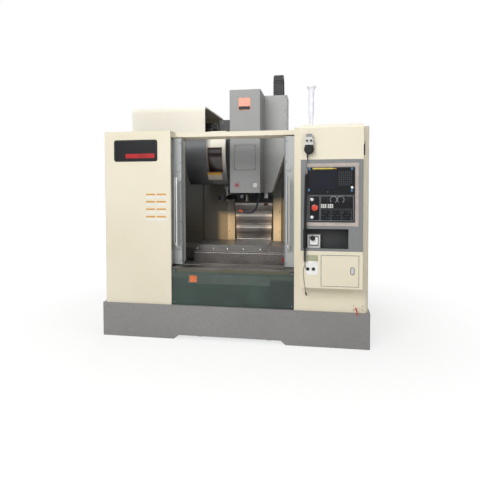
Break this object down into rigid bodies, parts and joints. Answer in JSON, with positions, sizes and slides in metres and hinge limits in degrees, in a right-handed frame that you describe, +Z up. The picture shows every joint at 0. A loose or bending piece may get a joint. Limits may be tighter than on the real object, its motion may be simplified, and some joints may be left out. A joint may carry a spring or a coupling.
{
  "type": "cnc machining center",
  "caption": "Vertical machining centre with a sheet-metal enclosure, two sliding doors, a T-slot table, a disc tool changer and a hanging operator station.",
  "frame": {"origin": "centre of the footprint box on the floor", "axes": "+X to the right as seen from the front, +Y to the back, +Z up"},
  "size_m": [2.5, 2.256, 2.717],
  "materials": {
    "iron": "painted, satin",
    "cream_steel": "powder coated cream, fine texture",
    "grey_steel": "powder coated grey",
    "base_steel": "powder coated dark grey",
    "green_steel": "green, glossy",
    "bright_steel": "ground and polished",
    "dark_steel": "black oxide and paint",
    "abs_dark": "moulded, satin",
    "abs_light": "moulded, satin",
    "abs_red": "moulded, satin",
    "polycarbonate": "clear",
    "acrylic_dark": "dark red, clear",
    "acrylic_milk": "milky",
    "nylon": "moulded, matt",
    "pvc": "matt",
    "acetal": "moulded"
  },
  "bodies": {
    "machine": {"base_tray": "base_steel", "levelling_feet": "dark_steel", "bed_casting": "iron", "column_casting": "iron", "left_cover": "cream_steel", "right_pillar": "cream_steel", "top_rail": "cream_steel", "front_panel": "green_steel", "door_sill": "bright_steel", "rear_wall": "cream_steel", "hood": "cream_steel", "magazine_cover": "cream_steel", "magazine_window": "acrylic_dark", "cam_box": "dark_steel", "operator_box": "cream_steel", "control_fascia": "grey_steel", "display_unit": "abs_dark", "operator_panel": "abs_dark", "socket_plate": "abs_light", "signal_tower": "acrylic_milk", "electrical_cabinet": "cream_steel", "pendant_body": "abs_light", "fixed_way_covers": "bright_steel", "coil_cord": "pvc", "cap_tether": "pvc"},
    "left_door": {"left_door": "grey_steel", "left_window": "polycarbonate"},
    "right_door": {"right_door": "grey_steel", "right_window": "polycarbonate"},
    "saddle": {"saddle": "iron"},
    "table": {"table": "iron", "table_guards": "bright_steel"},
    "head": {"head_casting": "iron", "head_cover": "grey_steel", "chain_box": "grey_steel", "z_cover_5": "bright_steel"},
    "hose": {"coolant_hose": "acetal"},
    "spindle": {"spindle": "bright_steel"},
    "z_cover_2": {"z_cover_2": "bright_steel"},
    "z_cover_3": {"z_cover_3": "bright_steel"},
    "z_cover_4": {"z_cover_4": "bright_steel"},
    "y_cover_2": {"y_cover_2": "bright_steel"},
    "cable_chain": {"cable_chain": "nylon"},
    "magazine": {"magazine_disc": "dark_steel"},
    "tool_pot": {"tool_pot": "nylon"},
    "arm_shaft": {"atc_shaft": "bright_steel"},
    "change_arm": {"atc_arm": "dark_steel"},
    "estop": {"estop_button": "abs_red"},
    "dial_1": {"dial_1": "abs_dark"},
    "dial_2": {"dial_2": "abs_dark"},
    "dial_3": {"dial_3": "abs_dark"},
    "dial_4": {"dial_4": "abs_dark"},
    "display_button": {"display_button": "abs_light"},
    "start_button": {"start_button": "abs_light"},
    "stop_button": {"stop_button": "abs_light"},
    "small_door": {"small_door": "cream_steel"},
    "door_latch": {"door_latch": "bright_steel"},
    "pendant_wheel": {"pendant_wheel": "abs_dark"},
    "port_lever": {"port_lever": "abs_red"},
    "cabinet_door": {"cabinet_door": "cream_steel"}
  },
  "joints": [
    {"name": "left_door_slide", "type": "slide", "parent": "machine", "child": "left_door", "axis": [1, 0, 0], "range_m": [0, 0.488]},
    {"name": "right_door_slide", "type": "slide", "parent": "machine", "child": "right_door", "axis": [-1, 0, 0], "range_m": [0, 0.488]},
    {"name": "saddle_y", "type": "slide", "parent": "machine", "child": "saddle", "axis": [0, 1, 0], "range_m": [-0.095, 0.39]},
    {"name": "table_x", "type": "slide", "parent": "saddle", "child": "table", "axis": [1, 0, 0], "range_m": [-0.29, 0.505]},
    {"name": "head_z", "type": "slide", "parent": "machine", "child": "head", "axis": [0, 0, 1], "range_m": [-0.3, 0]},
    {"name": "spindle_turn", "type": "hinge", "parent": "head", "child": "spindle", "pos_m": [0.02, -0.027, 1.4], "axis": [0, 0, 1], "continuous": true},
    {"name": "hose_swivel", "type": "hinge", "parent": "head", "child": "hose", "pos_m": [0.166, -0.074, 1.368], "axis": [0, 0, 1], "range_deg": [-45, 90]},
    {"name": "z_cover_2_slide", "type": "slide", "parent": "machine", "child": "z_cover_2", "axis": [0, 0, 1], "range_m": [-0.07508, 0]},
    {"name": "z_cover_3_slide", "type": "slide", "parent": "machine", "child": "z_cover_3", "axis": [0, 0, 1], "range_m": [-0.15005, 0]},
    {"name": "z_cover_4_slide", "type": "slide", "parent": "machine", "child": "z_cover_4", "axis": [0, 0, 1], "range_m": [-0.22502, 0]},
    {"name": "y_cover_2_slide", "type": "slide", "parent": "machine", "child": "y_cover_2", "axis": [0, 1, 0], "range_m": [-0.0476, 0.1951]},
    {"name": "chain_slide", "type": "slide", "parent": "machine", "child": "cable_chain", "axis": [0, 0, 1], "range_m": [-0.1501, 0]},
    {"name": "magazine_turn", "type": "hinge", "parent": "machine", "child": "magazine", "pos_m": [-0.506, 0.183, 1.82], "axis": [1, 0, 0], "continuous": true},
    {"name": "pot_tip", "type": "hinge", "parent": "magazine", "child": "tool_pot", "pos_m": [-0.46, 0.183, 1.502], "axis": [0, 1, 0], "range_deg": [0, 90]},
    {"name": "arm_drop", "type": "slide", "parent": "machine", "child": "arm_shaft", "axis": [0, 0, -1], "range_m": [0, 0.115]},
    {"name": "arm_swing", "type": "hinge", "parent": "arm_shaft", "child": "change_arm", "pos_m": [-0.22, 0.078, 1.31], "axis": [0, 0, 1], "range_deg": [0, 66.4]},
    {"name": "estop_press", "type": "slide", "parent": "machine", "child": "estop", "axis": [0, 1, 0], "range_m": [0, 0.006], "stiffness_N_per_m": 1500},
    {"name": "dial_1_turn", "type": "hinge", "parent": "machine", "child": "dial_1", "pos_m": [0.851, -1.064, 1.318], "axis": [0, 1, 0], "range_deg": [-150, 150]},
    {"name": "dial_2_turn", "type": "hinge", "parent": "machine", "child": "dial_2", "pos_m": [0.926, -1.064, 1.318], "axis": [0, 1, 0], "range_deg": [-150, 150]},
    {"name": "dial_3_turn", "type": "hinge", "parent": "machine", "child": "dial_3", "pos_m": [0.986, -1.064, 1.318], "axis": [0, 1, 0], "range_deg": [-150, 150]},
    {"name": "dial_4_turn", "type": "hinge", "parent": "machine", "child": "dial_4", "pos_m": [1.06, -1.064, 1.318], "axis": [0, 1, 0], "range_deg": [-150, 150]},
    {"name": "display_button_press", "type": "slide", "parent": "machine", "child": "display_button", "axis": [0, 1, 0], "range_m": [0, 0.003], "stiffness_N_per_m": 600},
    {"name": "start_button_press", "type": "slide", "parent": "machine", "child": "start_button", "axis": [0, 1, 0], "range_m": [0, 0.003], "stiffness_N_per_m": 600},
    {"name": "stop_button_press", "type": "slide", "parent": "machine", "child": "stop_button", "axis": [0, 1, 0], "range_m": [0, 0.003], "stiffness_N_per_m": 600},
    {"name": "small_door_hinge", "type": "hinge", "parent": "machine", "child": "small_door", "pos_m": [0.8265, -1.054, 0.706], "axis": [0, 0, 1], "range_deg": [-110, 0]},
    {"name": "door_latch_turn", "type": "hinge", "parent": "small_door", "child": "door_latch", "pos_m": [1.087, -1.054, 0.708], "axis": [0, 1, 0], "range_deg": [0, 90]},
    {"name": "pendant_wheel_turn", "type": "hinge", "parent": "machine", "child": "pendant_wheel", "pos_m": [0.72, -1.102, 1.745], "axis": [0, 1, 0], "continuous": true},
    {"name": "port_lever_turn", "type": "hinge", "parent": "machine", "child": "port_lever", "pos_m": [1.126, -0.944, 0.361], "axis": [0, 1, 0], "range_deg": [-76, 14]},
    {"name": "cabinet_door_hinge", "type": "hinge", "parent": "machine", "child": "cabinet_door", "pos_m": [1.221, 1.1, 0.95], "axis": [0, 0, 1], "range_deg": [-110, 0]}
  ],
  "couplings": [
    {"joint": "z_cover_2_slide", "follows": "head_z", "ratio": 0.25},
    {"joint": "z_cover_3_slide", "follows": "head_z", "ratio": 0.5},
    {"joint": "z_cover_4_slide", "follows": "head_z", "ratio": 0.75},
    {"joint": "chain_slide", "follows": "head_z", "ratio": 0.5},
    {"joint": "y_cover_2_slide", "follows": "saddle_y", "ratio": 0.5}
  ]
}
